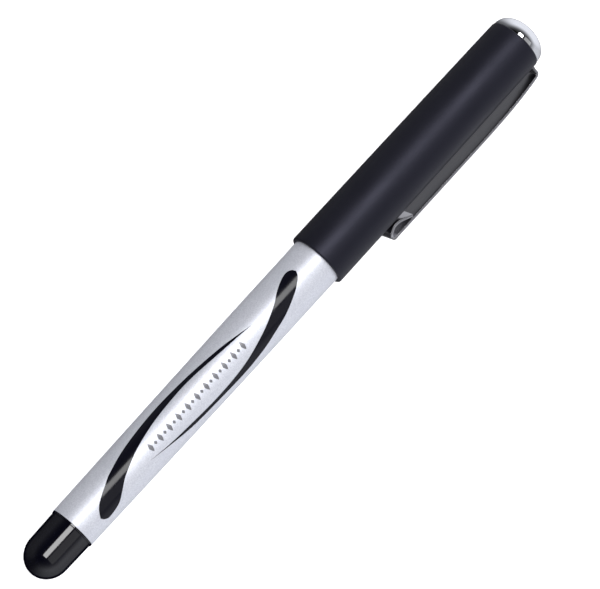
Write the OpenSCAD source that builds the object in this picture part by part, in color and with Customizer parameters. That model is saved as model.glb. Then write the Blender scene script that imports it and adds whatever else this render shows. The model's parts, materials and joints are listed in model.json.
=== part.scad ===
// Capped rollerball pen, lying on a flat surface.
// The pen's axis runs along X, from the tail (low X) to the crown (high X), and +Z is up.
// Stations along the axis are counted from the tail's tip. The origin is under the middle of the
// whole pen, on the surface that it lies on: it rests on the cap's mouth and on the clip's edge.

/* [Whole pen] */
// Length with the cap on
pen_length = 140; // [132:1:150]
// Running clearance on the radius, between pieces that slide or turn
running_gap = 0.06; // [0.03:0.01:0.1]

/* [Barrel] */
// Length of the black tail plug that shows
plug_length = 11.3; // [9:0.1:14]
// Radius of the plug where its round end starts
plug_end_r = 4.4; // [4:0.05:4.45]
// Radius of the plug just before its lip
plug_root_r = 4.5; // [4.45:0.05:4.6]
// Length of the plug's round end
plug_nose_length = 4.8; // [4:0.1:6]
// Radius of the barrel at the tail
barrel_tail_r = 4.69; // [4.6:0.01:4.9]
// Radius of the barrel's straight part, just before the cap
barrel_front_r = 5.13; // [5:0.01:5.2]
// Where the barrel's taper ends
taper_end = 66; // [60:1:70]
// Radius of the barrel's seat, inside the cap
barrel_seat_r = 5.09; // [4.95:0.01:5.1]
// Where the barrel's straight part ends and the lead to its seat starts
seat_start = 78.6; // [77:0.1:78.7]
// Where the barrel ends, inside the cap
barrel_end = 86.5; // [85:0.5:88]
// Radius of the barrel's bore
barrel_bore_r = 4.1; // [4.08:0.01:4.15]
// Pitch of the barrel's thread
thread_pitch = 1.5; // [1:0.25:1.5]
// Turns of the barrel's thread
thread_turns = 4; // [3:1:4]

/* [Section] */
// Where the grip section ends and the nose cone starts
section_end = 114.5; // [113:0.5:115]
// Radius of the section's collar, behind the grip
collar_r = 4.4; // [4.35:0.01:4.41]
// Number of grooves round the grip
grip_grooves = 9; // [5:1:9]
// Where the nose cone ends
nose_end = 124.5; // [123:0.5:125]
// Where the writing tip ends
tip_end = 128; // [127:0.1:128.2]
// Radius of the writing ball
ball_r = 0.35; // [0.3:0.05:0.4]

/* [Refill] */
// Where the refill's tail is
refill_start = 23.5; // [23:0.5:26]
// Outer radius of the refill tube
refill_r = 2.9; // [2.8:0.05:2.95]
// Wall of the refill tube
refill_wall = 0.45; // [0.4:0.05:0.5]
// Where the ink starts on a full refill
ink_start = 42; // [40:1:60]

/* [Cap] */
// Where the cap's mouth is
cap_mouth = 78.85; // [78:0.05:80]
// Where the cap ends and the chrome dome starts
cap_top = 136.2; // [135.5:0.1:136.5]
// Radius of the cap at its mouth
cap_mouth_r = 5.94; // [5.9:0.01:6.1]
// Radius of the cap at its top
cap_top_r = 5.62; // [5.6:0.01:5.8]
// Rounding of the cap's edges
cap_edge = 0.3; // [0.2:0.05:0.35]
// Radius of the chrome dome's base
dome_r = 5.45; // [5.2:0.05:5.5]

/* [Clip] */
// Thickness of the clip's sheet
clip_sheet = 0.5; // [0.4:0.05:0.6]
// Width of the clip at its root
clip_root_w = 4.7; // [4:0.1:5]
// Width of the clip at its tip
clip_tip_w = 4.3; // [3.6:0.1:4.6]
// Distance of the clip's outer face from the pen's axis
clip_outer_r = 8.4; // [8:0.05:8.8]
// Where the clip's tip is
clip_tip = 92.2; // [90:0.1:100]

/* [Hidden] */

$fn = 96;
// Amount by which a cutting solid runs past the face that it cuts
past = 1;
// Play between two pieces that are pressed or glued together
seat_gap = 0.02;
// Play between two faces of different bodies
face_gap = 0.05;
// Bevel on the ends of the barrel and on its ring
edge_bevel = 0.15;

// How the clip leans, so that its lower corner is level with the cap mouth's lowest point
clip_mid_w = (clip_root_w + clip_tip_w) / 2;
clip_corner_r = sqrt(pow(clip_outer_r, 2) + pow(clip_mid_w / 2, 2));
clip_lean = asin(cap_mouth_r / clip_corner_r) - atan(clip_mid_w / 2 / clip_outer_r);

// Place of the axis in the part's own frame
clip_reach = clip_outer_r * cos(clip_lean) + clip_mid_w / 2 * sin(clip_lean);
axis_y = (clip_reach - cap_mouth_r) / 2;
axis_z = cap_mouth_r;

// Barrel and its plug. The powers say how late a taper or curve sets in
barrel_taper_power = 1.25;
seat_lead = 0.8;
lip_length = 0.45;
lip_slope = 0.1;
lip_r = barrel_tail_r - 0.01;
plug_spigot_length = 8;
spring_well_r = 2.9;
spring_well_floor = 8;
spring_wire_r = 0.25;
spring_r = 2.35;
spring_turns = 9;
ring_length = 1.5;
ring_r = 5.0;
ring_end = barrel_end + ring_length;
thread_run_out = 2;
spigot_length = thread_turns * thread_pitch + thread_run_out;

// Front section
collar_length = 3;
core_r = 3.7;
grip_start = ring_end + face_gap + collar_length;
front_collar_length = 2;
grip_end = section_end - front_collar_length;
grip_front_r = 4.2;
groove_depth = 0.25;
groove_width = 0.8;
section_bore_r = 3.0;
nose_spigot_r = 3.4;
nose_spigot_length = 3.5;
nose_straight = 0.7;
nose_curve_power = 1.6;
nose_tip_r = 1.75;
nose_hole_r = 1.3;
nose_hole_length = 0.1;
nose_play = 0.3;

// Refill
refill_bore_r = refill_r - refill_wall;
refill_flange = 1.5;
refill_plug_length = 4;
tube_start = refill_start + refill_flange;
tube_end = 110;
vent_r = 0.4;
ink_r = refill_bore_r - running_gap;
follower_length = 8;
holder_start = 104;
holder_shoulder = 2;
holder_neck_r = 2.3;
holder_neck_end = 119;
holder_end = 120.5;
holder_end_r = 1.5;
channel_r = 0.9;
socket_start = 115;
socket_r = 1.15;
socket_mouth_r = 0.42;
socket_bore_r = 0.6;
socket_taper_start = 124.8;
socket_bore_end = 126.6;
feed_r = 0.2;
ball_gap = 0.03;
ball_x = tip_end - ball_r;
ball_seat_r = ball_r + ball_gap;
// How far the socket's rim reaches past the ball's middle, which holds the ball in
rim_hold = 0.16;
socket_end = ball_x + rim_hold;
tip_spring_r = 0.42;
tip_spring_wire_r = 0.07;
tip_spring_turns = 12;

// Cap
cap_taper_power = 1.3;
cap_bore_r = barrel_seat_r + running_gap;
liner_start = 90;
liner_seat_r = 5.0;
liner_r = liner_seat_r - seat_gap;
liner_play = 0.09;
liner_bore_r = collar_r + liner_play;
liner_end = 131;
liner_floor = 1;
seal_start = 116;
seal_length = 2;
seal_r = liner_bore_r - running_gap;
seal_bore_r = 4.27;
crown_gap = 0.1;
crown_start = liner_end + crown_gap;
stud_r = 1.5;
stud_length = 3.2;
dome_bluntness = 2.15;
dome_rim = 0.25;

// Clip
clip_mid_r = clip_outer_r - clip_sheet / 2;
clip_leg_x = 135.3;
clip_leg_end_r = 4.2;
clip_drop = 1.1;
clip_straight_end = 112;
clip_drop_power = 3.4;
clip_root_bend_r = 0.55;
clip_tip_bend_r = 0.42;
clip_tip_corner = 1.2;
slot_play = 0.15;
// The fold under the clip's tip: the distance of its crest from the axis, and its bend points
// after the tip's bend, as distance from the tip and height over that crest
hem_crest_r = 6.25;
hem_bends = [
    [0.55, 0.75], [1.25, 0.33], [1.85, 0.06], [2.45, 0],
    [3.1, 0.06], [3.9, 0.3], [5.1, 0.85], [6.1, 1.34]
];

// Radius of the barrel at station x, thinner towards the tail
function barrel_r_at(x) =
    barrel_front_r - (barrel_front_r - barrel_tail_r)
    * pow(max(taper_end - x, 0) / (taper_end - plug_length), barrel_taper_power);

// Radius of the cap at station x, narrower towards the top
function cap_r_at(x) =
    cap_mouth_r - (cap_mouth_r - cap_top_r)
    * pow((x - cap_mouth) / (cap_top - cap_mouth), cap_taper_power);

// Radius of the nose cone at station x
function nose_r_at(x) =
    let (from = section_end + nose_straight)
    let (share = max(x - from, 0) / (nose_end - from))
    nose_tip_r + (grip_front_r - nose_tip_r) * (1 - pow(share, nose_curve_power));

// Radius of the clip strap's middle at station x: straight, then down to the root
function clip_r_at(x) =
    clip_mid_r - clip_drop
    * pow(max(x - clip_straight_end, 0) / (clip_leg_x - clip_straight_end), clip_drop_power);

// Points of a quarter ellipse, from angle a0 to a1
function arc_points(cx, cr, rx, rr, a0, a1, steps) =
    [for (i = [0:steps]) let (a = a0 + (a1 - a0) * i / steps) [cr + rr * sin(a), cx + rx * cos(a)]];

// Outline of a strap of one thickness along a path: down one side and back up the other
function strap_side(path, offset_by) =
    [for (i = [0:len(path) - 1])
        let (a = path[max(i - 1, 0)])
        let (b = path[min(i + 1, len(path) - 1)])
        let (d = (b - a) / norm(b - a))
        path[i] + offset_by * [-d[1], d[0]]];
function backwards(list) = [for (i = [len(list) - 1:-1:0]) list[i]];

// Puts a shape made about the Z axis, with Z as the station, on the pen's axis
module on_axis() {
    translate([-pen_length / 2, axis_y, axis_z]) rotate([0, 90, 0]) children();
}

// Solid of revolution from points [radius, station]
module turned(points) {
    on_axis() rotate_extrude() polygon(points);
}

// Ring or rod between two stations
module rod(r, from, to) {
    on_axis() translate([0, 0, from]) cylinder(r = r, h = to - from);
}

module cone(r_from, r_to, from, to) {
    on_axis() translate([0, 0, from]) cylinder(r1 = r_from, r2 = r_to, h = to - from);
}

// Helical spring with closed polygon sides, between two stations
module coil(r, wire_r, turns, from, to) {
    sides = 6;
    per_turn = 16;
    rings = turns * per_turn;
    rise = (to - from - 2 * wire_r) / rings;
    points = [for (i = [0:rings]) for (j = [0:sides - 1])
        let (a = 360 * i / per_turn, b = 360 * j / sides)
        [(r + wire_r * cos(b)) * cos(a), (r + wire_r * cos(b)) * sin(a),
            from + wire_r + rise * i + wire_r * sin(b)]];
    walls = [for (i = [0:rings - 1]) for (j = [0:sides - 1])
        [i * sides + j, (i + 1) * sides + j,
            (i + 1) * sides + (j + 1) % sides, i * sides + (j + 1) % sides]];
    start_cap = [for (j = [0:sides - 1]) j];
    end_cap = [for (j = [sides - 1:-1:0]) rings * sides + j];
    on_axis() polyhedron(points = points, faces = concat([start_cap], walls, [end_cap]));
}

// Puts a shape drawn above the axis, with Z as the distance from it, on the side that the clip leans to
module on_clip_side() {
    translate([-pen_length / 2, axis_y, axis_z]) rotate([90 + clip_lean, 0, 0]) children();
}

module barrel() {
    steps = 14;
    outer = [for (i = [0:steps])
        let (x = plug_length + (taper_end - plug_length) * i / steps)
        [barrel_r_at(x), x]];
    color("silver") difference() {
        turned(concat(
            [[0, plug_length]],
            outer,
            [
                [barrel_front_r, seat_start],
                [barrel_seat_r, seat_start + seat_lead],
                [barrel_seat_r, barrel_end - edge_bevel],
                [barrel_seat_r - edge_bevel, barrel_end],
                [0, barrel_end]
            ]
        ));
        rod(barrel_bore_r, plug_length - past, barrel_end + past);
    }
}

module barrel_ring() {
    color("gainsboro") difference() {
        turned([
            [0, barrel_end],
            [ring_r - edge_bevel, barrel_end],
            [ring_r, barrel_end + edge_bevel],
            [ring_r, ring_end - edge_bevel],
            [ring_r - edge_bevel, ring_end],
            [0, ring_end]
        ]);
        rod(barrel_bore_r, barrel_end - past, ring_end + past);
    }
}

module tail_plug() {
    nose = arc_points(plug_nose_length, 0, plug_nose_length, plug_end_r, 180, 90, 16);
    spigot_end = plug_length + plug_spigot_length;
    color([0.03, 0.03, 0.04]) difference() {
        turned(concat(
            nose,
            [
                [plug_root_r, plug_length - lip_length],
                [lip_r, plug_length - lip_length + lip_slope],
                [lip_r, plug_length],
                [barrel_bore_r - seat_gap, plug_length],
                [barrel_bore_r - seat_gap, spigot_end],
                [0, spigot_end]
            ]
        ));
        rod(spring_well_r, spring_well_floor, spigot_end + past);
    }
}

module cushion_spring() {
    color("lightsteelblue")
        coil(spring_r, spring_wire_r, spring_turns,
            spring_well_floor + seat_gap, refill_start - face_gap);
}

module section_core() {
    spigot_start = barrel_end - spigot_length;
    collar_start = ring_end + face_gap;
    color([0.05, 0.05, 0.06]) difference() {
        union() {
            rod(barrel_bore_r - running_gap, spigot_start, collar_start);
            rod(collar_r, collar_start, grip_start);
            rod(core_r, grip_start, grip_end);
            rod(grip_front_r, grip_end, section_end);
            rod(nose_spigot_r, section_end, section_end + nose_spigot_length);
        }
        rod(section_bore_r, spigot_start - past, section_end + nose_spigot_length + past);
    }
}

module grip_sleeve() {
    groove_step = (grip_end - grip_start) / (grip_grooves + 1);
    color([0.1, 0.1, 0.12]) difference() {
        cone(collar_r, grip_front_r, grip_start + seat_gap, grip_end - seat_gap);
        rod(core_r + seat_gap, grip_start - past, grip_end + past);
        for (i = [1:grip_grooves]) {
            middle = grip_start + groove_step * i;
            floor_r = collar_r + (grip_front_r - collar_r) * i / (grip_grooves + 1) - groove_depth;
            on_axis() translate([0, 0, middle - groove_width / 2]) rotate_extrude()
                translate([floor_r, 0]) square([1, groove_width]);
        }
    }
}

module nose_cone() {
    steps = 12;
    start = section_end + seat_gap;
    curve_start = section_end + nose_straight;
    outer = [for (i = [0:steps])
        let (x = curve_start + (nose_end - curve_start) * i / steps)
        [nose_r_at(x), x]];
    seat_end = section_end + nose_spigot_length + seat_gap;
    inside_r = holder_neck_r + nose_play;
    color("gainsboro") difference() {
        turned(concat([[0, start], [grip_front_r, start]], outer, [[0, nose_end]]));
        rod(nose_spigot_r + seat_gap, start - past, seat_end);
        rod(inside_r, start, holder_end);
        cone(inside_r, nose_hole_r, holder_end, nose_end);
        rod(nose_hole_r, nose_end - nose_hole_length, nose_end + past);
    }
}

module refill_tube() {
    color("whitesmoke") difference() {
        rod(refill_r, tube_start, tube_end);
        rod(refill_bore_r, tube_start - past, tube_end + past);
    }
}

module refill_plug() {
    color("white") difference() {
        union() {
            rod(refill_r, refill_start, tube_start);
            rod(refill_bore_r - seat_gap, tube_start, tube_start + refill_plug_length);
        }
        rod(vent_r, refill_start - past, tube_start + refill_plug_length + past);
    }
}

module ink_column() {
    color([0.02, 0.02, 0.05]) rod(ink_r, ink_start + face_gap, holder_start - face_gap);
}

module ink_follower() {
    color("khaki") rod(ink_r, ink_start - follower_length, ink_start);
}

module tip_holder() {
    color("white") difference() {
        union() {
            rod(refill_bore_r - seat_gap, holder_start, tube_end);
            rod(refill_r, tube_end, tube_end + holder_shoulder);
            rod(holder_neck_r, tube_end + holder_shoulder, holder_neck_end);
            cone(holder_neck_r, holder_end_r, holder_neck_end, holder_end);
        }
        rod(channel_r, holder_start - past, socket_start + past);
        rod(socket_r + seat_gap, socket_start, holder_end + past);
    }
}

module tip_socket() {
    color("silver") difference() {
        union() {
            rod(socket_r, socket_start, socket_taper_start);
            cone(socket_r, socket_mouth_r, socket_taper_start, socket_end);
        }
        rod(socket_bore_r, socket_start - past, socket_bore_end);
        rod(feed_r, socket_bore_end - past, ball_x);
        on_axis() translate([0, 0, ball_x]) sphere(r = ball_seat_r);
    }
}

module tip_spring() {
    color("lightsteelblue")
        coil(tip_spring_r, tip_spring_wire_r, tip_spring_turns,
            socket_start + past, socket_bore_end - face_gap);
}

module tip_ball() {
    color("dimgray") on_axis() translate([0, 0, ball_x]) sphere(r = ball_r);
}

module cap_shell() {
    steps = 14;
    mouth_edge = arc_points(cap_mouth + cap_edge, cap_mouth_r - cap_edge,
        cap_edge, cap_edge, 180, 90, 5);
    top_edge = arc_points(cap_top - cap_edge, cap_top_r - cap_edge,
        cap_edge, cap_edge, 90, 0, 5);
    wall = [for (i = [1:steps - 1])
        let (x = cap_mouth + (cap_top - cap_mouth) * i / steps)
        [cap_r_at(x), x]];
    color([0.13, 0.13, 0.18]) difference() {
        turned(concat([[0, cap_mouth]], mouth_edge, wall, top_edge, [[0, cap_top]]));
        rod(cap_bore_r, cap_mouth - past, liner_start);
        rod(liner_seat_r, liner_start - past, cap_top + past);
        clip_slot(clip_root_w / 2 + slot_play, clip_sheet / 2 + slot_play);
    }
}

// The straight hole that the clip's leg stands in
module clip_slot(half_w, half_t) {
    on_clip_side()
        translate([clip_leg_x - half_t, -half_w, clip_leg_end_r - slot_play])
            cube([2 * half_t, 2 * half_w, cap_top_r]);
}

module inner_cap() {
    color("white") difference() {
        rod(liner_r, liner_start, liner_end);
        rod(liner_bore_r, liner_start - past, liner_end - liner_floor);
    }
}

module cap_seal() {
    color([0.2, 0.2, 0.22]) difference() {
        rod(seal_r, seal_start, seal_start + seal_length);
        rod(seal_bore_r, seal_start - past, seal_start + seal_length + past);
    }
}

module crown_plug() {
    color("white") difference() {
        rod(liner_r, crown_start, cap_top - seat_gap);
        rod(stud_r + seat_gap, cap_top - stud_length - face_gap, cap_top + past);
        clip_slot(clip_root_w / 2 + slot_play, clip_sheet / 2 + slot_play);
    }
}

module crown_dome() {
    steps = 18;
    start = cap_top + seat_gap;
    rim_top = start + dome_rim;
    curve = [for (i = [0:steps])
        let (a = 90 * i / steps)
        [dome_r * pow(max(cos(a), 0), 2 / dome_bluntness),
            rim_top + (pen_length - rim_top) * pow(sin(a), 2 / dome_bluntness)]];
    color("gainsboro") union() {
        turned(concat([[0, start], [dome_r, start]], curve));
        rod(stud_r, cap_top - stud_length, start + past);
    }
}

module clip() {
    steps = 10;
    leg_top = clip_r_at(clip_leg_x) - clip_root_bend_r;
    leg = [[clip_leg_x, clip_leg_end_r], [clip_leg_x, leg_top]];
    plate_from = clip_leg_x - clip_root_bend_r;
    root = [for (a = [22.5:22.5:67.5])
        [plate_from + clip_root_bend_r * cos(a), leg_top + clip_root_bend_r * sin(a)]];
    fold_x = clip_tip + clip_sheet / 2 + clip_tip_bend_r;
    plate = [for (i = [0:steps])
        let (x = plate_from - (plate_from - fold_x) * i / steps)
        [x, clip_r_at(x)]];
    fold_r = clip_mid_r - clip_tip_bend_r;
    tip_fold = [for (a = [112.5:22.5:202.5])
        [fold_x + clip_tip_bend_r * cos(a), fold_r + clip_tip_bend_r * sin(a)]];
    hem = [for (bend = hem_bends) [clip_tip + bend[0], hem_crest_r + bend[1]]];
    path = concat(leg, root, plate, tip_fold, hem);
    one_side = strap_side(path, clip_sheet / 2);
    other_side = strap_side(path, -clip_sheet / 2);
    outline = concat(one_side, backwards(other_side));
    color("gainsboro") on_clip_side() intersection() {
        rotate([90, 0, 0]) linear_extrude(height = clip_root_w, center = true) polygon(outline);
        linear_extrude(height = clip_outer_r + past) clip_plan();
    }
}

// Shape of the clip seen from above its outer face: tapered, with a rounded tip
module clip_plan() {
    corner_x = clip_tip - clip_sheet + clip_tip_corner;
    corner_y = clip_tip_w / 2 - clip_tip_corner;
    left = [for (a = [90:15:180])
        [corner_x + clip_tip_corner * cos(a), corner_y + clip_tip_corner * sin(a)]];
    right = [for (a = [180:15:270])
        [corner_x + clip_tip_corner * cos(a), clip_tip_corner * sin(a) - corner_y]];
    root = [[pen_length, -clip_root_w / 2], [pen_length, clip_root_w / 2]];
    polygon(concat(root, left, right));
}

barrel();
barrel_ring();
tail_plug();
cushion_spring();
section_core();
grip_sleeve();
nose_cone();
refill_tube();
refill_plug();
ink_column();
ink_follower();
tip_holder();
tip_socket();
tip_spring();
tip_ball();
cap_shell();
inner_cap();
cap_seal();
crown_plug();
crown_dome();
clip();
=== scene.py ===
# %% [markdown]
# A capped rollerball pen, lying on a pale table with its clip towards the viewer's lower right.
# The engineering model is loaded first. It already has every piece in its place, in metres, and it
# knows what moves. This lesson gives the pieces their finish, and makes the ones that are seen again
# as finer meshes, because a chrome or lacquered tube shows every facet in its reflections.

# %% Load the engineering model
import json
import math

import bmesh
import bpy
from mathutils import Matrix, Vector


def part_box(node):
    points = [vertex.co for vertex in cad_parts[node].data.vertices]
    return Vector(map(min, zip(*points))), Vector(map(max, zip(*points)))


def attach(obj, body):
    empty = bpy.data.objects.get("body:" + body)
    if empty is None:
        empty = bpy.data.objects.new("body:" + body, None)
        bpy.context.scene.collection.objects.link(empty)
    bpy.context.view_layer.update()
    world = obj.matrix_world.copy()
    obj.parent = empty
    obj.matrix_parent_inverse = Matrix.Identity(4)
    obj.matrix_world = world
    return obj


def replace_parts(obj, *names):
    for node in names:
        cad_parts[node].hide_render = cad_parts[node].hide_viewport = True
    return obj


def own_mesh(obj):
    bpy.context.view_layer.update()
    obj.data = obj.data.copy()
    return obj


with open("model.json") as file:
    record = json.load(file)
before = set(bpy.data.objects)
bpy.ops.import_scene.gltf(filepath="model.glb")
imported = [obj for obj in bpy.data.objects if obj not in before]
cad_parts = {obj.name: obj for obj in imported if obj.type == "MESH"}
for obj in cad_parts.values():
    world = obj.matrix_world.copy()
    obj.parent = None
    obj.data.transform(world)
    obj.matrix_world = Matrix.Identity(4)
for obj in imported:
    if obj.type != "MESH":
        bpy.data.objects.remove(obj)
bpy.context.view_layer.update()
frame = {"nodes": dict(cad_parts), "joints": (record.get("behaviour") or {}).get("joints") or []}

MM = 0.001

# %% [markdown]
# Nearly every piece of a pen is round about one axis. A piece's place is then two numbers: its
# station, which is how far it is from the tail's tip, and its radius. Angles round the axis are
# counted from straight up, towards the side that the clip is on. The axis and the main stations are
# read from the engineering model, so the finish follows it if its sizes change.

# %% The pen's axis
barrel_low, barrel_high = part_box("barrel")
AXIS_Y = (barrel_low.y + barrel_high.y) / 2
AXIS_Z = (barrel_low.z + barrel_high.z) / 2
TAIL_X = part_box("tail_plug")[0].x


def on_pen(station_mm, radius_mm, angle_deg=0.0):
    """The point at a station, a distance from the axis and an angle round it."""
    angle = math.radians(angle_deg)
    return Vector((
        TAIL_X + station_mm * MM,
        AXIS_Y - radius_mm * MM * math.sin(angle),
        AXIS_Z + radius_mm * MM * math.cos(angle),
    ))


def span(node):
    """Where a node starts and ends along the pen, in mm from the tail."""
    low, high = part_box(node)
    return (low.x - TAIL_X) / MM, (high.x - TAIL_X) / MM


def radius_of(node):
    """A round node's largest radius, in mm."""
    low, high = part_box(node)
    return (high.z - low.z) / 2 / MM


BARREL_START, BARREL_END = span("barrel")
CAP_START, CAP_END = span("cap_shell")
PEN_END = span("crown_dome")[1]
BARREL_R = radius_of("barrel")
CAP_R = radius_of("cap_shell")
print("the pen is", round(PEN_END, 2), "mm long; its cap starts at", round(CAP_START, 2))

# %% [markdown]
# A round piece is drawn as its outline only, which is turned about the axis as on a lathe: the
# outline's points are joined by edges, and spin sweeps them through a full turn. Sharp corners are
# then bevelled by a few hundredths of a millimetre. No moulded or turned edge is perfectly sharp,
# and that thin bright line along an edge is what makes a small object look real.

# %% Turn an outline
SMOOTH_UNDER = math.radians(38)


def finish_mesh(name, bm):
    """Makes an object from a bmesh, shaded smooth except at real corners."""
    mesh = bpy.data.meshes.new(name)
    bm.to_mesh(mesh)
    bm.free()
    mesh.shade_smooth()
    mesh.set_sharp_from_angle(angle=SMOOTH_UNDER)
    piece = bpy.data.objects.new(name, mesh)
    bpy.context.scene.collection.objects.link(piece)
    return piece


def bevel_corners(bm, width_mm, corner_deg=25):
    """Rounds every edge whose two faces meet at more than corner_deg."""
    corner = math.radians(corner_deg)
    sharp = [e for e in bm.edges if len(e.link_faces) == 2 and e.calc_face_angle(0) > corner]
    bmesh.ops.bevel(
        bm, geom=sharp, offset=width_mm * MM, offset_type="OFFSET", segments=3,
        profile=0.5, affect="EDGES", material=-1, clamp_overlap=True,
    )


def turned(name, outline, corner_mm=0.05, steps=144):
    """A solid of revolution from (station, radius) points in mm, in order round its section."""
    bm = bmesh.new()
    points = [bm.verts.new(on_pen(station, radius)) for station, radius in outline]
    for first, second in zip(points, points[1:] + points[:1]):
        on_axis = all(math.hypot(v.co.y - AXIS_Y, v.co.z - AXIS_Z) < 1e-7 for v in (first, second))
        if not on_axis:
            bm.edges.new((first, second))
    bmesh.ops.spin(
        bm, geom=bm.verts[:] + bm.edges[:], cent=on_pen(0, 0), axis=(1, 0, 0), dvec=(0, 0, 0),
        angle=2 * math.pi, steps=steps, use_merge=True, use_duplicate=False,
    )
    bmesh.ops.remove_doubles(bm, verts=bm.verts, dist=1e-7)
    bmesh.ops.recalc_face_normals(bm, faces=bm.faces)
    if corner_mm:
        bevel_corners(bm, corner_mm)
    piece = finish_mesh(name, bm)
    print(name, "has", len(piece.data.polygons), "faces")
    return piece


def quarter(centre, radii, start_deg, end_deg, steps=12):
    """Points of an elliptical arc, for rounded ends: centre and radii are (station, radius)."""
    found = []
    for i in range(steps + 1):
        angle = math.radians(start_deg + (end_deg - start_deg) * i / steps)
        found.append((centre[0] + radii[0] * math.cos(angle), centre[1] + radii[1] * math.sin(angle)))
    return found


def stations(start, end, steps):
    """Evenly spaced stations from start to end, with both ends."""
    return [start + (end - start) * i / steps for i in range(steps + 1)]


# %% [markdown]
# The barrel is a thin moulded tube. It swells gently from the tail, runs straight for a while, and
# steps down a little where the cap slides over it. It is turned from one closed outline: out along
# the bore and back along the outside.

# %% The barrel
BORE_R = 4.1
TAIL_R = 4.69
SEAT_R = 5.09
TAPER_END = 66.0
SEAT_START = 78.6
SEAT_LEAD = 0.8
MOUTH_EDGE = 0.15
TAPER_POWER = 1.25


def barrel_r_at(station):
    """The barrel's radius, which grows from the tail up to the straight part."""
    share = max(TAPER_END - station, 0) / (TAPER_END - BARREL_START)
    return BARREL_R - (BARREL_R - TAIL_R) * share ** TAPER_POWER


outside = [(x, barrel_r_at(x)) for x in stations(BARREL_START, TAPER_END, 24)]
barrel = turned(
    "barrel_tube",
    outside + [
        (SEAT_START, BARREL_R), (SEAT_START + SEAT_LEAD, SEAT_R), (BARREL_END - MOUTH_EDGE, SEAT_R),
        (BARREL_END, SEAT_R - MOUTH_EDGE), (BARREL_END, BORE_R), (BARREL_START, BORE_R),
    ],
    corner_mm=0.03,
)
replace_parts(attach(barrel, "barrel"), "barrel")

# %% [markdown]
# The tail plug is a glossy moulding pressed into the barrel. Its end is a little longer than a half
# ball, it widens slightly towards the barrel, and a thin lip closes the joint.

# %% The tail plug
PLUG_NOSE = 4.8
PLUG_END_R = 4.4
PLUG_ROOT_R = 4.5
LIP = 0.45
LIP_SLOPE = 0.1
PLUG_PLAY = 0.02
PLUG_HOLLOW_R = 2.9
PLUG_HOLLOW_START = 8.0
plug_end = span("tail_plug")[1]
nose = quarter((PLUG_NOSE, 0), (PLUG_NOSE, PLUG_END_R), 180, 90, 24)
nose[0] = (0, 0)
tail_plug = turned(
    "tail_plug_moulding",
    nose + [
        (BARREL_START - LIP, PLUG_ROOT_R), (BARREL_START - LIP + LIP_SLOPE, TAIL_R - PLUG_PLAY / 2),
        (BARREL_START, TAIL_R - PLUG_PLAY / 2), (BARREL_START, BORE_R - PLUG_PLAY),
        (plug_end, BORE_R - PLUG_PLAY), (plug_end, PLUG_HOLLOW_R), (PLUG_HOLLOW_START, PLUG_HOLLOW_R),
        (PLUG_HOLLOW_START, 0),
    ],
    corner_mm=0.04,
)
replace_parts(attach(tail_plug, "barrel"), "tail_plug")

# %% [markdown]
# The cap's shell is one long moulding that narrows towards the crown, with softly rounded edges. Its
# bore is wide over the barrel and narrower where the liner is glued in. The clip's leg goes in
# through a slot near the top. The leg fills it, so the shell is drawn whole there.

# %% The cap's shell
CAP_TOP_R = 5.62
CAP_EDGE = 0.3
CAP_BORE_R = 5.15
CAP_TAPER_POWER = 1.3
LINER_SEAT_R = 5.0
LINER_START = span("inner_cap")[0]


def cap_r_at(station):
    """The cap's radius, which shrinks towards the crown."""
    share = (station - CAP_START) / (CAP_END - CAP_START)
    return CAP_R - (CAP_R - CAP_TOP_R) * share ** CAP_TAPER_POWER


mouth_edge = quarter((CAP_START + CAP_EDGE, CAP_R - CAP_EDGE), (CAP_EDGE, CAP_EDGE), 180, 90, 6)
top_edge = quarter((CAP_END - CAP_EDGE, CAP_TOP_R - CAP_EDGE), (CAP_EDGE, CAP_EDGE), 90, 0, 6)
wall = [(x, cap_r_at(x)) for x in stations(CAP_START, CAP_END, 24)[1:-1]]
cap_shell = turned(
    "cap_moulding",
    mouth_edge + wall + top_edge + [
        (CAP_END, LINER_SEAT_R), (LINER_START, LINER_SEAT_R), (LINER_START, CAP_BORE_R),
        (CAP_START, CAP_BORE_R),
    ],
    corner_mm=0.04,
)
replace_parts(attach(cap_shell, "cap"), "cap_shell")

# %% [markdown]
# The crown is a chrome-plated button with a stud under it. Its outline is a superellipse, which is
# blunter than a half circle: nearly flat in the middle, and steep at the rim.

# %% The crown's dome
DOME_R = radius_of("crown_dome")
CROWN_GAP = 0.02
DOME_START = CAP_END + CROWN_GAP
RIM = 0.25
BLUNTNESS = 2.15
STUD_R = 1.5
CURVE_STEPS = 30
stud_start = span("crown_dome")[0]
dome_curve = []
for i in range(CURVE_STEPS + 1):
    angle = math.radians(90 * i / CURVE_STEPS)
    dome_curve.append((
        DOME_START + RIM + (PEN_END - DOME_START - RIM) * math.sin(angle) ** (2 / BLUNTNESS),
        DOME_R * max(math.cos(angle), 0) ** (2 / BLUNTNESS),
    ))
dome_curve[-1] = (PEN_END, 0)
crown_dome = turned(
    "crown_button",
    dome_curve + [(stud_start, 0), (stud_start, STUD_R), (DOME_START, STUD_R), (DOME_START, DOME_R)],
    corner_mm=0.04,
)
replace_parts(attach(crown_dome, "cap"), "crown_dome")

# %% [markdown]
# The clip is one strip of sheet metal, half a millimetre thick. Its leg stands in the cap, it bends
# over and runs along the cap, and its tip is folded back under it so that it slides over cloth. It
# is made as the real one is: a thin strip follows the bend line, its sides are trimmed to a taper
# with a rounded tip, and only then does it get its thickness and its rounded edges.

# %% The clip's bend line
SHEET = 0.5
CLIP_R = 8.4 - SHEET / 2
CLIP_TIP = span("clip")[0]
LEG_X = 135.3
LEG_END_R = 4.2
STRAIGHT_END = 112.0
DROP = 1.1
BEND = 0.55
FOLD = 0.42
CREST_R = 6.25
DROP_POWER = 3.4


def clip_r_at(station):
    """The strip's middle radius, which drops towards the crown."""
    share = max(station - STRAIGHT_END, 0) / (LEG_X - STRAIGHT_END)
    return CLIP_R - DROP * share ** DROP_POWER


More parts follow.
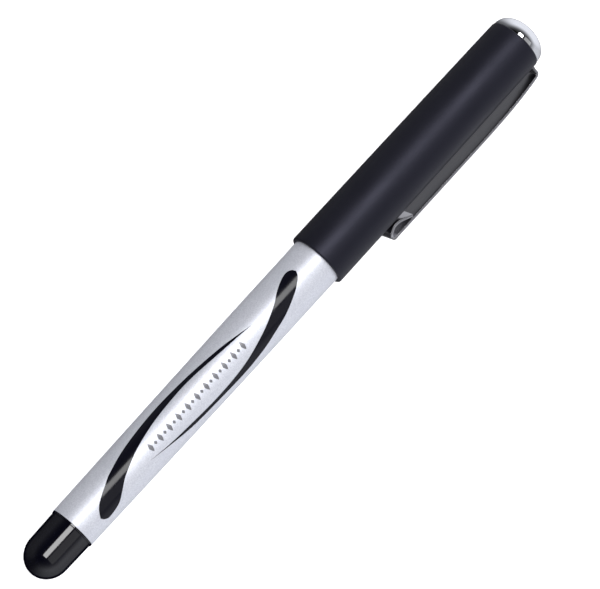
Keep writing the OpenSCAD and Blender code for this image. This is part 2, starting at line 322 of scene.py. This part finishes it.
leg_top = clip_r_at(LEG_X) - BEND
bend_line = [(LEG_X, LEG_END_R), (LEG_X, leg_top)]
bend_line += quarter((LEG_X - BEND, leg_top), (BEND, BEND), 15, 75, 4)
bend_line += [(x, clip_r_at(x)) for x in stations(LEG_X - BEND, CLIP_TIP + 0.6, 40)]
bend_line += quarter((CLIP_TIP + 0.67, CLIP_R - FOLD), (FOLD, FOLD), 105, 195, 6)
hem = [
    (CLIP_TIP + 0.3, CLIP_R - 0.72), (CLIP_TIP + 0.62, CLIP_R - 1.2), (CLIP_TIP + 1.25, CREST_R + 0.33),
    (CLIP_TIP + 1.85, CREST_R + 0.06), (CLIP_TIP + 2.45, CREST_R), (CLIP_TIP + 3.1, CREST_R + 0.06),
    (CLIP_TIP + 3.9, CREST_R + 0.3), (CLIP_TIP + 5.1, CREST_R + 0.85),
    (CLIP_TIP + 6.1, CLIP_R - SHEET - 0.06),
]


def smooth_run(points, steps=5):
    """A smooth curve through the points, as Catmull and Rom drew them."""
    found = []
    for i in range(len(points) - 1):
        ends = [Vector(points[max(i - 1, 0)]), Vector(points[i]), Vector(points[i + 1]),
                Vector(points[min(i + 2, len(points) - 1)])]
        for j in range(steps):
            t = j / steps
            found.append(tuple(0.5 * (
                2 * ends[1] + (ends[2] - ends[0]) * t
                + (2 * ends[0] - 5 * ends[1] + 4 * ends[2] - ends[3]) * t * t
                + (3 * ends[1] - 3 * ends[2] + ends[3] - ends[0]) * t ** 3
            )))
    return found + [points[-1]]


bend_line += smooth_run(hem)
print("the clip's strip is", round(sum(
    (Vector(b) - Vector(a)).length for a, b in zip(bend_line, bend_line[1:])), 1), "mm long when flat")

# %% The clip's strip
clip_axis = Vector(next(j["axis"] for j in frame["joints"] if j["name"] == "clip_flex"))
CLIP_ANGLE = 90 + math.degrees(math.atan2(-clip_axis.y, clip_axis.z))
ROOT_W = 4.7
TIP_W = 4.3
TIP_CORNER = 1.2
COLUMNS = 12
SHEET_EDGE = 0.09


def half_width_at(station):
    """Half the strip's width, tapered towards the tip, where its corners are round."""
    corner = CLIP_TIP - SHEET + TIP_CORNER
    share = max(station - corner, 0) / (PEN_END - corner)
    half = (TIP_W + (ROOT_W - TIP_W) * share) / 2
    inset = max(corner - station, 0)
    return half - TIP_CORNER + math.sqrt(max(TIP_CORNER ** 2 - inset ** 2, 0))


bm = bmesh.new()
across = [bm.verts.new(on_pen(station, radius, CLIP_ANGLE)) for station, radius in bend_line]
edges = [bm.edges.new(pair) for pair in zip(across, across[1:])]
for column in range(COLUMNS):
    swept = bmesh.ops.extrude_edge_only(bm, edges=edges)["geom"]
    moved = [g for g in swept if isinstance(g, bmesh.types.BMVert)]
    edges = [g for g in swept if isinstance(g, bmesh.types.BMEdge) and len(g.link_faces) == 1
             and all(v in moved for v in g.verts)]
    for v in moved:
        v.co += clip_axis * MM / COLUMNS
start_point = on_pen(0, 0, CLIP_ANGLE)
for v in bm.verts:
    column = (v.co - start_point).dot(clip_axis) / MM
    station = (v.co.x - TAIL_X) / MM
    v.co += clip_axis * ((2 * column - 1) * half_width_at(station) * MM - column * MM)
bmesh.ops.recalc_face_normals(bm, faces=bm.faces)
clip = finish_mesh("clip_strip", bm)
thickness = clip.modifiers.new("sheet", "SOLIDIFY")
thickness.thickness = SHEET * MM
thickness.offset = 0
thickness.use_even_offset = True
rounding = clip.modifiers.new("edges", "BEVEL")
rounding.width = SHEET_EDGE * MM
rounding.segments = 3
rounding.limit_method = "ANGLE"
rounding.angle_limit = math.radians(50)
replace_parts(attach(clip, "clip"), "clip")
print("clip leans to", round(CLIP_ANGLE, 1), "degrees from straight up")

# %% [markdown]
# The swooshes are printed on the lacquer in thick black ink. Each is a brush stroke between two
# edges, drawn as a few (station, angle) points and smoothed. A flat grid is bent to the stroke and
# wrapped on the barrel, two hundredths of a millimetre proud of it, as thick screen print is.

# %% Printed strokes
PRINT_PROUD = 0.02


def edge_at(points, share):
    """The angle on a smoothed edge line at a share of its way from the first station to the last."""
    station = points[0][0] + (points[-1][0] - points[0][0]) * share
    for a, b in zip(points, points[1:]):
        if station <= b[0] + 1e-9:
            t = (station - a[0]) / max(b[0] - a[0], 1e-9)
            return station, a[1] + (b[1] - a[1]) * t
    return points[-1]


def printed(name, upper, lower, rows, columns=10):
    """A patch of ink between two edge lines of (station, angle), wrapped on the barrel."""
    smooth_upper = smooth_run(upper, 10)
    smooth_lower = smooth_run(lower, 10)
    bm = bmesh.new()
    bmesh.ops.create_grid(bm, x_segments=rows, y_segments=columns, size=0.5)
    for v in bm.verts:
        along = 0.5 - 0.5 * math.cos(math.pi * (v.co.x + 0.5))
        side = v.co.y + 0.5
        station, angle_up = edge_at(smooth_upper, along)
        angle_low = edge_at(smooth_lower, along)[1]
        angle = angle_low + (angle_up - angle_low) * side
        v.co = on_pen(station, barrel_r_at(station) + PRINT_PROUD, angle)
    bmesh.ops.remove_doubles(bm, verts=bm.verts, dist=2e-6)
    bmesh.ops.recalc_face_normals(bm, faces=bm.faces)
    if sum(f.normal.dot(f.calc_center_median() - on_pen(0, 0)) for f in bm.faces) < 0:
        bmesh.ops.reverse_faces(bm, faces=bm.faces)
    piece = finish_mesh(name, bm)
    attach(piece, "barrel")
    return piece


tail_stroke = printed(
    "print_tail_stroke",
    [(15.5, 32.1), (16.2, 17.9), (17.1, 7.6), (18.6, -2.4), (20.5, -12.2), (22.6, -22.3), (27.5, -36.5),
     (33.2, -44.6), (38.8, -46.4), (45.7, -40.7), (53.2, -28.8), (56.9, -20.3), (61.1, -9.4)],
    [(15.5, 32.1), (16.0, 41.7), (17.1, 48.2), (19.7, 41.9), (21.8, 25.6), (23.6, 11.4), (25.5, 1.5),
     (29.2, -13.4), (34.9, -26.4), (40.7, -31.3), (45.6, -30.6), (53.2, -20.7), (58.7, -13.8), (61.1, -9.4)],
    rows=150,
)
cap_stroke = printed(
    "print_cap_stroke",
    [(29.3, 24.9), (34.0, 33.1), (39.7, 38.5), (45.7, 42.3), (51.1, 40.6), (55.1, 34.7), (58.8, 24.3),
     (62.6, 11.2), (66.4, -6.4), (68.3, -18.7), (70.5, -29.2), (72.2, -33.1), (73.3, -27.8), (73.7, -18.6)],
    [(29.3, 24.9), (34.0, 35.8), (39.8, 47.5), (45.8, 51.9), (53.5, 54.2), (59.0, 47.8), (62.8, 37.9),
     (66.5, 27.5), (70.3, 10.9), (72.2, -0.6), (73.2, -9.0), (73.7, -18.6)],
    rows=150,
)

# %% [markdown]
# Between the strokes the barrel has a small printed ornament: a row of plain lozenges, wide and
# narrow by turns. Each one is a patch of ink with a point at each end, and they are joined into one
# piece.

# %% Printed ornament
lozenges = []
LOZENGES = 21
ROW_START = 31.2
ROW_LENGTH = 25.4
ROW_ANGLE = 6.6
ROW_SLOPE = 0.1
for i in range(LOZENGES):
    along_row = ROW_LENGTH * i / (LOZENGES - 1)
    station = ROW_START + along_row
    turn = ROW_ANGLE - ROW_SLOPE * along_row
    half_angle, half_length = (11.0, 0.46) if i % 2 == 0 else (4.5, 0.34)
    start, end = (station - half_length, turn), (station + half_length, turn)
    lozenges.append(printed(
        f"lozenge_{i}",
        [start, (station, turn + half_angle), end],
        [start, (station, turn - half_angle), end],
        rows=6, columns=4,
    ))
with bpy.context.temp_override(
    active_object=lozenges[0], selected_editable_objects=lozenges, selected_objects=lozenges,
):
    bpy.ops.object.join()
ornament = lozenges[0]
ornament.name = "print_ornament"
print("ornament has", len(ornament.data.polygons), "faces")

# %% [markdown]
# Under the cap the pen has its working end: a chrome ring on the barrel's mouth, a moulded section
# with the thread that the barrel screws on, a ribbed rubber sleeve for the fingers, and a chrome
# nose. It only shows when the cap is off, but it is finished with the same care.

# %% The mouth ring, the nose cone and the steel tip
ring_start, ring_end = span("barrel_ring")
RING_R = radius_of("barrel_ring")
mouth_ring = turned(
    "mouth_ring",
    [(ring_start, BORE_R), (ring_start, RING_R), (ring_end, RING_R), (ring_end, BORE_R)],
    corner_mm=0.14,
)
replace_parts(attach(mouth_ring, "barrel_mouth"), "barrel_ring")

nose_start, nose_end = span("nose_cone")
NOSE_R = radius_of("nose_cone")
NOSE_TIP_R = 1.75
NOSE_BORE_R = 3.42
NOSE_HOLE_R = 1.3
NOSE_STRAIGHT = 0.7
NECK_R = 2.6
NOSE_POWER = 1.6
neck_start = nose_start + 3.5
neck_end = 120.5
nose_outside = []
for station in stations(nose_start + NOSE_STRAIGHT, nose_end, 20):
    share = (station - nose_start - NOSE_STRAIGHT) / (nose_end - nose_start - NOSE_STRAIGHT)
    nose_outside.append((station, NOSE_TIP_R + (NOSE_R - NOSE_TIP_R) * (1 - share ** NOSE_POWER)))
nose_cone = turned(
    "nose_turning",
    [(nose_start, NOSE_BORE_R), (nose_start, NOSE_R)] + nose_outside + [
        (nose_end, NOSE_HOLE_R), (neck_end, NECK_R), (neck_start, NECK_R), (neck_start, NOSE_BORE_R)],
    corner_mm=0.06,
)
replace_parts(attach(nose_cone, "front_section"), "nose_cone")

socket_start, socket_end = span("tip_socket")
TIP_SHANK_R = 1.15
TIP_STEP_R = 0.86
TIP_CONE_R = 0.78
TIP_SPRING_R = 0.6
INK_WAY_R = 0.2
tip_outside = [
    (socket_start, TIP_SPRING_R), (socket_start, TIP_SHANK_R), (124.8, TIP_SHANK_R), (126.0, TIP_STEP_R),
    (126.25, TIP_STEP_R), (126.25, TIP_CONE_R), (socket_end - 0.25, 0.48), (socket_end, 0.4),
]
ball_seat = [
    (socket_end, 0.355), (socket_end - 0.35, 0.37), (socket_end - 0.5, INK_WAY_R),
    (socket_end - 1.2, INK_WAY_R), (socket_end - 1.2, TIP_SPRING_R),
]
steel_tip = turned(
    "steel_tip",
    tip_outside + ball_seat,
    corner_mm=0.01, steps=96,
)
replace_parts(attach(steel_tip, "front_section"), "tip_socket")

# %% [markdown]
# The grip sleeve is moulded rubber with shallow grooves. Each groove is half a turn of a small arc in
# the outline, so its edges are soft, as moulded rubber's are.

# %% The grip sleeve
grip_start, grip_end = span("grip_sleeve")
GRIP_BACK_R = radius_of("grip_sleeve")
GRIP_FRONT_R = 4.2
GRIP_BORE_R = 3.72
GROOVES = 9
GROOVE_HALF = 0.4
GROOVE_DEPTH = 0.25


def grip_r_at(station):
    """The sleeve's radius: a slight cone with rounded grooves across it."""
    share = (station - grip_start) / (grip_end - grip_start)
    radius = GRIP_BACK_R + (GRIP_FRONT_R - GRIP_BACK_R) * share
    step = (grip_end - grip_start) / (GROOVES + 1)
    nearest = min(max(round((station - grip_start) / step), 1), GROOVES)
    away = abs(station - grip_start - nearest * step) / GROOVE_HALF
    return radius - GROOVE_DEPTH * (0.5 + 0.5 * math.cos(math.pi * min(away, 1)))


grip_sleeve = turned(
    "grip_moulding",
    [(grip_start, GRIP_BORE_R)] + [(x, grip_r_at(x)) for x in stations(grip_start, grip_end, 214)]
    + [(grip_end, GRIP_BORE_R)],
    corner_mm=0, steps=96,
)
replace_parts(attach(grip_sleeve, "front_section"), "grip_sleeve")

# %% [markdown]
# The section's spigot carries a real screw thread. The spigot is turned down to the thread's root,
# and a small tooth is swept round it by spin with a pitch, which is how a screw is made here: the
# same operator as the lathe's, but each turn also moves along the axis.

# %% The section and its thread
core_start, core_end = span("section_core")
COLLAR_R = radius_of("section_core")
SPIGOT_R = 4.04
ROOT_R = 3.72
CORE_R = 3.7
CORE_BORE_R = 3.0
NOSE_SPIGOT_R = 3.4
PITCH = 1.5
FACE_GAP = 0.02
THREAD_END = 86.2
SPIGOT_START = 86.5
collar_start = ring_end + 0.05
section = turned(
    "section_moulding",
    [(core_start, CORE_BORE_R), (core_start, ROOT_R), (THREAD_END, ROOT_R), (SPIGOT_START, SPIGOT_R),
     (collar_start, SPIGOT_R), (collar_start, COLLAR_R), (grip_start - FACE_GAP, COLLAR_R),
     (grip_start - FACE_GAP, CORE_R), (grip_end + FACE_GAP, CORE_R), (grip_end + FACE_GAP, GRIP_FRONT_R),
     (nose_start - FACE_GAP, GRIP_FRONT_R), (nose_start - FACE_GAP, NOSE_SPIGOT_R),
     (core_end, NOSE_SPIGOT_R), (core_end, CORE_BORE_R)],
    corner_mm=0.05,
)
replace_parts(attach(section, "front_section"), "section_core")

thread_start = core_start + 0.6
THREAD_TURNS = 4.2
bm = bmesh.new()
tooth = [(-0.42, ROOT_R - 0.05), (-0.14, SPIGOT_R - 0.02), (0.14, SPIGOT_R - 0.02), (0.42, ROOT_R - 0.05)]
corners = [bm.verts.new(on_pen(thread_start + dx, radius)) for dx, radius in tooth]
for pair in zip(corners, corners[1:] + corners[:1]):
    bm.edges.new(pair)
STEPS_PER_TURN = 72
bmesh.ops.spin(
    bm, geom=bm.verts[:] + bm.edges[:], cent=on_pen(0, 0), axis=(1, 0, 0),
    dvec=(PITCH * MM / STEPS_PER_TURN, 0, 0), angle=2 * math.pi * THREAD_TURNS,
    steps=round(STEPS_PER_TURN * THREAD_TURNS), use_merge=False, use_duplicate=False,
)
bmesh.ops.holes_fill(bm, edges=[e for e in bm.edges if e.is_boundary], sides=0)
bmesh.ops.recalc_face_normals(bm, faces=bm.faces)
thread = finish_mesh("section_thread", bm)
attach(thread, "front_section")
print("thread has", len(thread.data.polygons), "faces over", THREAD_TURNS, "turns")

# %% [markdown]
# As the ink is used, the grease behind it follows, and the ink's column gets shorter. The column
# is a piece of its own, with a mesh of its own.

# %% The ink
ink_start, ink_end = span("ink_column")
INK_R = radius_of("ink_column")
ink = turned(
    "ink_filling",
    [(ink_start, 0), (ink_start, INK_R), (ink_end, INK_R), (ink_end, 0)],
    corner_mm=0.1, steps=64,
)
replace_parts(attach(ink, "front_section"), "ink_column")
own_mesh(ink)

# %% [markdown]
# ## Finishes
# Colours are written as sRGB hex, as on a colour card, and one function turns them to the linear
# values that the renderer works in. One helper adds a node with its settings and its links.

# %% Helpers for materials
def linear(code, alpha=1.0):
    """An sRGB hex colour as linear RGBA."""
    parts = [int(code[i:i + 2], 16) / 255 for i in (1, 3, 5)]
    return tuple(p / 12.92 if p <= 0.04045 else ((p + 0.055) / 1.055) ** 2.4 for p in parts) + (alpha,)


def add(tree, kind, inputs=None, **settings):
    """Adds a shader node with its settings. Each input is a value, or another node's output."""
    made = tree.nodes.new("ShaderNode" + kind)
    for key, value in settings.items():
        setattr(made, key, value)
    for socket, value in (inputs or {}).items():
        if isinstance(value, bpy.types.NodeSocket):
            tree.links.new(value, made.inputs[socket])
        else:
            made.inputs[socket].default_value = value
    return made


def material(name, **constants):
    """A new material, its node tree and its shader. The constants go on the shader's own sockets."""
    made = bpy.data.materials.new(name)
    made.use_nodes = True
    shader = made.node_tree.nodes["Principled BSDF"]
    for key, value in constants.items():
        shader.inputs[key.replace("_", " ")].default_value = value
    return made, made.node_tree, shader


def per_mm(size_mm):
    """The pattern scale whose cells are size_mm across, on Object coordinates in metres."""
    return 1 / (size_mm * MM)


def wear(tree, shader, coordinates, patch_mm, low, high):
    """Roughness that varies in soft patches, as handling leaves it."""
    patches = add(tree, "TexNoise", {"Vector": coordinates, "Scale": per_mm(patch_mm), "Detail": 5.0})
    spread = add(tree, "MapRange", {
        "Value": patches.outputs["Fac"], "From Min": 0.3, "From Max": 0.7, "To Min": low, "To Max": high})
    tree.links.new(spread.outputs["Result"], shader.inputs["Roughness"])


def relief(tree, shader, height, depth_mm, strength=1.0):
    """Bump of a given real depth."""
    bump = add(tree, "Bump", {"Height": height, "Distance": depth_mm * MM, "Strength": strength})
    tree.links.new(bump.outputs["Normal"], shader.inputs["Normal"])


def tint(tree, shader, factor, dark, light):
    """Base colour between two hex colours."""
    ramp = add(tree, "Mix", {"Factor": factor, "A": linear(dark), "B": linear(light)}, data_type="RGBA")
    tree.links.new(ramp.outputs["Result"], shader.inputs["Base Color"])


def bloom(tree, shader, full=0.8, least=0.0):
    """Less reflection at a slant, where a faint haze on handled gloss black takes the mirror off."""
    facing = add(tree, "LayerWeight", {"Blend": 0.5})
    fade = add(tree, "MapRange", {
        "Value": facing.outputs["Facing"], "From Min": 0.2, "From Max": 0.6, "To Min": full, "To Max": least})
    tree.links.new(fade.outputs["Result"], shader.inputs["Specular IOR Level"])


def place(tree):
    """Object coordinates, which stay on a piece as its body moves."""
    return add(tree, "TexCoord").outputs["Object"]


# %% [markdown]
# The barrel's lacquer is clear varnish over fine aluminium flakes on moulded ABS. The flakes lie
# flat, so it shines broadly like metal but is never a mirror. Real flakes are 0.03 mm; here they
# are drawn at 0.12 mm so that they just show.

# %% Silver flake lacquer
silver, tree, shader = material(
    "silver_flake_lacquer_on_abs", Metallic=0.5, Coat_Weight=0.15, Coat_Roughness=0.12)
coordinates = place(tree)
flakes = add(tree, "TexVoronoi", {"Vector": coordinates, "Scale": per_mm(0.12)})
flake_tone = add(tree, "SeparateColor", {"Color": flakes.outputs["Color"]})
tint(tree, shader, flake_tone.outputs["Red"], "#BCBEC8", "#D2D4DC")
wear(tree, shader, coordinates, 7, 0.44, 0.52)
peel = add(tree, "TexNoise", {"Vector": coordinates, "Scale": per_mm(1.2), "Detail": 2.0})
relief(tree, shader, peel.outputs["Fac"], 0.004)

# %% [markdown]
# The cap has a soft-touch lacquer: a matt blue-black film that feels like skin. It scatters light
# widely, so it has a soft grey sheen in place of a highlight, and fingers leave faint smoother spots.

# %% Soft-touch lacquer
soft_touch, tree, shader = material(
    "soft_touch_lacquer_on_abs", Specular_IOR_Level=0.4,
    Specular_Tint=linear("#D6D6F2"))
coordinates = place(tree)
grain = add(tree, "TexNoise", {"Vector": coordinates, "Scale": per_mm(0.18), "Detail": 3.0})
tint(tree, shader, grain.outputs["Fac"], "#0A0A11", "#121219")
wear(tree, shader, coordinates, 9, 0.44, 0.52)
relief(tree, shader, grain.outputs["Fac"], 0.006)

# %% [markdown]
# The tail plug is polished black ABS. It is nearly a mirror, but the moulding is never quite flat:
# a slow ripple bends the reflections, and fine rubbing marks dull it a little.

# %% Polished black ABS
gloss_black, tree, shader = material("polished_black_abs")
coordinates = place(tree)
stretch = add(tree, "Mapping", {"Vector": coordinates, "Scale": (0.12, 1.0, 1.0)})
rubs = add(tree, "TexNoise", {"Vector": stretch.outputs["Vector"], "Scale": per_mm(0.25), "Detail": 4.0})
tint(tree, shader, rubs.outputs["Fac"], "#03030A", "#080810")
wear(tree, shader, coordinates, 5, 0.05, 0.11)
ripple = add(tree, "TexNoise", {"Vector": coordinates, "Scale": per_mm(4.0), "Detail": 1.0})
relief(tree, shader, ripple.outputs["Fac"], 0.012)
bloom(tree, shader)

# %% [markdown]
# The clip, the crown, the mouth ring and the nose are chrome-plated. Chrome is a clean mirror with
# a cool grey colour, and only hairlines from wiping break its reflections.

# %% Bright chrome plate
chrome, tree, shader = material("bright_chrome_plate", Metallic=1.0)
coordinates = place(tree)
stretch = add(tree, "Mapping", {"Vector": coordinates, "Scale": (0.08, 1.0, 1.0)})
hairlines = add(tree, "TexNoise", {"Vector": stretch.outputs["Vector"], "Scale": per_mm(0.1), "Detail": 6.0})
tint(tree, shader, hairlines.outputs["Fac"], "#D4D5D9", "#E4E5E8")
wear(tree, shader, coordinates, 4, 0.03, 0.09)
relief(tree, shader, hairlines.outputs["Fac"], 0.0006)

# %% [markdown]
# The clip is stamped from spring steel before it is plated. Plating copies the sheet's rolled grain,
# so it is a satin mirror: it still shines, but the cap beside it shows only as a soft grey.

# %% Plated sheet steel
plated_sheet, tree, shader = material("chrome_plate_on_stamped_sheet", Metallic=1.0)
coordinates = place(tree)
stretch = add(tree, "Mapping", {"Vector": coordinates, "Scale": (0.06, 1.0, 1.0)})
rolled = add(tree, "TexNoise", {"Vector": stretch.outputs["Vector"], "Scale": per_mm(0.12), "Detail": 6.0})
tint(tree, shader, rolled.outputs["Fac"], "#B4B3B7", "#CAC9CD")
wear(tree, shader, coordinates, 4, 0.14, 0.24)
relief(tree, shader, rolled.outputs["Fac"], 0.0012)

# %% [markdown]
# The print is thick black screen ink under the varnish, glossy and very slightly uneven.

# %% Screen-printed ink
print_ink, tree, shader = material("black_screen_ink")
coordinates = place(tree)
weave = add(tree, "TexNoise", {"Vector": coordinates, "Scale": per_mm(0.3), "Detail": 3.0})
tint(tree, shader, weave.outputs["Fac"], "#06060D", "#0D0D16")
wear(tree, shader, coordinates, 3, 0.12, 0.2)
relief(tree, shader, weave.outputs["Fac"], 0.003)
bloom(tree, shader, full=0.36)

ornament_ink, tree, shader = material("grey_screen_ink", Coat_Weight=0.3, Coat_Roughness=0.12)
coordinates = place(tree)
weave = add(tree, "TexNoise", {"Vector": coordinates, "Scale": per_mm(0.2), "Detail": 3.0})
tint(tree, shader, weave.outputs["Fac"], "#4C4C52", "#6E6E74")
wear(tree, shader, coordinates, 3, 0.25, 0.36)

# %% [markdown]
# The other finishes are seen only with the cap off, or inside the clear refill: rubber with a fine
# spark-eroded grain, plain moulded plastics, turned steel with its rings, spring wire and ink.

# %% Rubber and moulded plastics
def moulded(name, dark, light, grain_mm, roughness, depth_mm, **constants):
    """A moulded piece: two close tones, patchy gloss, and the grain that the mould leaves."""
    made, tree, shader = material(name, **constants)
    coordinates = place(tree)
    grain = add(tree, "TexNoise", {"Vector": coordinates, "Scale": per_mm(grain_mm), "Detail": 4.0})
    tint(tree, shader, grain.outputs["Fac"], dark, light)
    wear(tree, shader, coordinates, 4, roughness - 0.06, roughness + 0.06)
    relief(tree, shader, grain.outputs["Fac"], depth_mm)
    return made


grip_rubber = moulded("grained_black_rubber", "#17171A", "#232327", 0.12, 0.62, 0.012)
seal_rubber = moulded("soft_grey_seal_rubber", "#26262A", "#333338", 0.2, 0.55, 0.006)
black_abs = moulded("satin_black_abs", "#101013", "#1A1A1E", 0.15, 0.38, 0.005)
white_pp = moulded(
    "natural_white_polypropylene", "#DAD9D2", "#E8E7E2", 0.4, 0.42, 0.006,
    Subsurface_Weight=0.15, Subsurface_Scale=0.0008)
clear_pp = moulded(
    "clear_extruded_polypropylene", "#E9EEF0", "#F6F8F9", 0.8, 0.16, 0.004,
    Transmission_Weight=0.9, IOR=1.49)
grease = moulded(
    "amber_follower_grease", "#C9B06A", "#DCC78A", 0.9, 0.2, 0.01,
    Transmission_Weight=0.4, IOR=1.46)
ink_liquid = moulded("black_liquid_ink", "#030308", "#08080F", 1.5, 0.1, 0.002)


# %% Turned and drawn steel
def machined(name, dark, light, ring_mm, roughness, depth_mm):
    """Metal with fine rings round the pen's axis, as a lathe or a drawing die leaves them."""
    made, tree, shader = material(name, Metallic=1.0)
    coordinates = place(tree)
    rings = add(tree, "TexWave", {
        "Vector": coordinates, "Scale": per_mm(ring_mm) / 20, "Distortion": 1.5, "Detail": 2.0},
        wave_type="BANDS", bands_direction="X")
    tint(tree, shader, rings.outputs["Fac"], dark, light)
    wear(tree, shader, coordinates, 1.5, roughness - 0.05, roughness + 0.05)
    relief(tree, shader, rings.outputs["Fac"], depth_mm)
    return made


tip_steel = machined("turned_stainless_steel", "#A9A9AB", "#C6C6C8", 0.3, 0.22, 0.002)
spring_wire = machined("drawn_spring_wire", "#8E9094", "#B4B6BA", 0.5, 0.26, 0.001)
carbide = machined("polished_tungsten_carbide", "#55565A", "#6C6D72", 0.1, 0.12, 0.0005)

# %% [markdown]
# Every piece gets its finish: first the new pieces, then the engineering model's own pieces, which
# sit inside and keep their shape.

# %% Put the finishes on
finishes = {
    barrel: silver, tail_plug: gloss_black, cap_shell: soft_touch, crown_dome: chrome, clip: plated_sheet,
    tail_stroke: print_ink, cap_stroke: print_ink, ornament: ornament_ink, mouth_ring: chrome,
    nose_cone: chrome, steel_tip: tip_steel, grip_sleeve: grip_rubber, section: black_abs,
    thread: black_abs, ink: ink_liquid,
}
for piece, finish in finishes.items():
    piece.data.materials.clear()
    piece.data.materials.append(finish)
cad_finishes = {
    "cushion_spring": spring_wire, "tip_spring": spring_wire, "tip_ball": carbide, "refill_tube": clear_pp,
    "refill_plug": white_pp, "ink_follower": grease, "tip_holder": white_pp, "inner_cap": white_pp,
    "cap_seal": seal_rubber, "crown_plug": white_pp,
}
for name, finish in cad_finishes.items():
    node = frame["nodes"][name]
    node.data.materials.clear()
    node.data.materials.append(finish)
print(len(finishes), "new pieces and", len(cad_finishes), "kept pieces have their finish")

# %% [markdown]
# ## The studio
# A white light table, a long softbox over the pen, a dim card on the clip's side, and a room that is
# dark overhead and towards the tail. The gloss of the pen shows each of them: the softbox is the
# bright line on the black plug, the card is the faint one, and the dark room is why the plug looks
# black. Two more lamps only fill the table. They and the table are kept out of reflections, since a
# white table would turn the black plug's sides grey.

# %% The table
TABLE_HALF = 1.6
bm = bmesh.new()
bmesh.ops.create_grid(bm, x_segments=2, y_segments=2, size=TABLE_HALF)
table = finish_mesh("table", bm)
table.visible_glossy = False
paper, tree, shader = material(
    "white_light_table_paper", Roughness=0.85, Emission_Color=linear("#FFFFFF"), Emission_Strength=0.5)
coordinates = place(tree)
fibres = add(tree, "TexNoise", {"Vector": coordinates, "Scale": per_mm(2.5), "Detail": 4.0})
tint(tree, shader, fibres.outputs["Fac"], "#F3F3F4", "#F8F8F8")
relief(tree, shader, fibres.outputs["Fac"], 0.004)
table.data.materials.append(paper)

# %% The room
world = bpy.data.worlds.new("studio")
bpy.context.scene.world = world
world.use_nodes = True
tree = world.node_tree
tree.nodes.clear()
parts = add(tree, "SeparateXYZ", {"Vector": add(tree, "TexCoord").outputs["Generated"]})


def ramp(source, start, end, low, high):
    """A smooth rise from low to high as the source goes from start to end."""
    return add(tree, "MapRange", {
        "Value": source, "From Min": start, "From Max": end, "To Min": low, "To Max": high},
        interpolation_type="SMOOTHSTEP").outputs["Result"]


def combine(first, second, operation):
    """Two values joined by a maths operation."""
    return add(tree, "Math", {0: first, 1: second}, operation=operation).outputs["Value"]


to_crown = ramp(parts.outputs["X"], 0.15, 0.9, 0.03, 1.2)
to_clip = ramp(parts.outputs["Y"], 0.3, -0.95, 0.05, 0.85)
to_back = ramp(parts.outputs["Y"], 0.3, 0.95, 0.0, 0.2)
around = combine(to_crown, combine(to_clip, to_back, "MAXIMUM"), "MAXIMUM")
height = ramp(parts.outputs["Z"], 0.1, 0.8, 1.0, 0.12)
glow = combine(around, height, "MULTIPLY")
backdrop = add(tree, "Background", {"Color": linear("#F2F4FA"), "Strength": glow})
add(tree, "OutputWorld", {"Surface": backdrop.outputs["Background"]})

# %% The lamps
lamp_centre = on_pen(70, 0)


def softbox(name, lean_deg, distance, along, length, width, radiance, seen_in_gloss=True):
    """A rectangular lamp over the pen, leaning by lean_deg towards the side away from the clip."""
    lean = math.radians(lean_deg)
    lamp = bpy.data.lights.new(name, "AREA")
    lamp.shape = "RECTANGLE"
    lamp.size = length
    lamp.size_y = width
    lamp.energy = radiance * math.pi * length * width
    holder = bpy.data.objects.new(name, lamp)
    outward = Vector((0, math.sin(lean), math.cos(lean)))
    side = Vector((1, 0, 0))
    holder.matrix_world = Matrix.Translation(lamp_centre + outward * distance + side * along) @ Matrix(
        (side, outward.cross(side), outward)).transposed().to_4x4()
    holder.visible_glossy = seen_in_gloss
    bpy.context.scene.collection.objects.link(holder)
    return holder


softbox("long_softbox", 7, 0.45, 0.025, 0.56, 0.18, 6.8)
softbox("dim_card", -30, 0.45, 0.05, 0.6, 0.30, 0.4)
softbox("table_fill_near", -28, 1.1, 0, 1.6, 1.1, 1.6, seen_in_gloss=False)
softbox("table_fill_far", 25, 1.1, 0, 1.4, 1.0, 0.25, seen_in_gloss=False)

# %% [markdown]
# The camera looks down on the pen from the tail's side, and is rolled so that the pen runs from the
# lower left to the upper right. A long lens from 60 cm away keeps the pen's sides nearly parallel.

# %% The camera
LENS = 200
SENSOR = 36
DISTANCE = 0.6205
TILT = math.radians(12.0)
LEAN = math.radians(2.0)
ROLL = math.radians(47.63)
target = on_pen(72.0, 0) + Vector((0, -1.98 * MM, 0))
back = Vector((-math.sin(TILT), math.cos(TILT) * math.sin(LEAN), math.cos(TILT) * math.cos(LEAN)))
along_pen = (Vector((1, 0, 0)) - back * back.x).normalized()
across_pen = along_pen.cross(back)
right = math.cos(ROLL) * along_pen + math.sin(ROLL) * across_pen
up = math.sin(ROLL) * along_pen - math.cos(ROLL) * across_pen
camera_data = bpy.data.cameras.new("camera")
camera_data.lens = LENS
camera_data.sensor_width = SENSOR
camera_data.clip_start = 0.01
camera = bpy.data.objects.new("camera", camera_data)
turn_to_pen = Matrix((right, up, back)).transposed().to_4x4()
camera.matrix_world = Matrix.Translation(target + back * DISTANCE) @ turn_to_pen
bpy.context.scene.collection.objects.link(camera)
bpy.context.scene.camera = camera
bpy.context.scene.view_settings.view_transform = "Standard"
print("camera stands at", [round(c, 3) for c in camera.matrix_world.translation])
